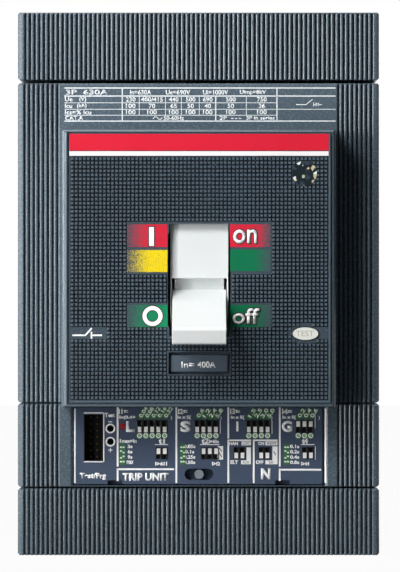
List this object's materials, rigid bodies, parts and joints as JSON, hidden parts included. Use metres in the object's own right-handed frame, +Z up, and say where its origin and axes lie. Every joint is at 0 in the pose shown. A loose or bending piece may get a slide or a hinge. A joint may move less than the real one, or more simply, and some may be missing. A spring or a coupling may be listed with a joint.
{
  "type": "molded case circuit breaker",
  "caption": "Three-pole molded case circuit breaker with ribbed terminal covers, a raised operating cover with a toggle, and an electronic trip unit.",
  "frame": {"origin": "centre of the flat back face that lies on the mounting plate", "axes": "+Y out of the back, into the mounting plate; +Z up, from the load terminals to the line terminals; the front faces -Y"},
  "size_m": [0.1396, 0.1242, 0.2092],
  "materials": {
    "housing_grey": "matte",
    "cover_grey": "matte",
    "panel_grey": "matte",
    "red_label": "satin",
    "white_label": "satin",
    "silver_seal": "satin",
    "toggle_white": "satin",
    "steel": "zinc plated",
    "copper": "tin-washed copper",
    "brass_pins": "plated",
    "lamp_red": "satin",
    "switch_black": "matte",
    "slider_white": "matte",
    "ring_white": "matte",
    "button_ivory": "satin",
    "plug_grey": "matte"
  },
  "bodies": {
    "housing": {"base": "housing_grey", "mid_cover": "housing_grey", "trip_unit_frame": "housing_grey", "line_terminal_cover": "housing_grey", "load_terminal_cover": "housing_grey", "operating_cover": "cover_grey", "red_strip": "red_label", "white_strip": "white_label", "rating_plug": "plug_grey", "seal_disc": "silver_seal", "toggle_pin": "steel", "trip_unit_panel": "panel_grey", "test_connector_pins": "brass_pins", "test_jack_rings": "ring_white", "alarm_lamp": "lamp_red", "lock_barrel": "steel", "switch_bodies": "switch_black", "sliders_i1": "slider_white", "sliders_t1": "slider_white", "sliders_i2": "slider_white", "sliders_t2": "slider_white", "sliders_i3": "slider_white", "sliders_mode": "slider_white", "sliders_n": "slider_white", "sliders_i4": "slider_white", "sliders_t4": "slider_white", "line_terminal_1": "copper", "line_terminal_2": "copper", "line_terminal_3": "copper", "line_terminal_bolts": "steel", "load_terminal_1": "copper", "load_terminal_2": "copper", "load_terminal_3": "copper", "load_terminal_bolts": "steel"},
    "toggle": {"toggle_shutter": "toggle_white", "toggle_grip": "toggle_white"},
    "test_button": {"test_button": "button_ivory"}
  },
  "joints": [
    {"name": "toggle_hinge", "type": "hinge", "parent": "housing", "child": "toggle", "pos_m": [0.0003, -0.0615, 0.00145], "axis": [-1, 0, 0], "range_deg": [0, 38]},
    {"name": "test_press", "type": "slide", "parent": "housing", "child": "test_button", "axis": [0, 1, 0], "range_m": [0, 0.001], "stiffness_N_per_m": 400, "springref_m": -0.001}
  ]
}
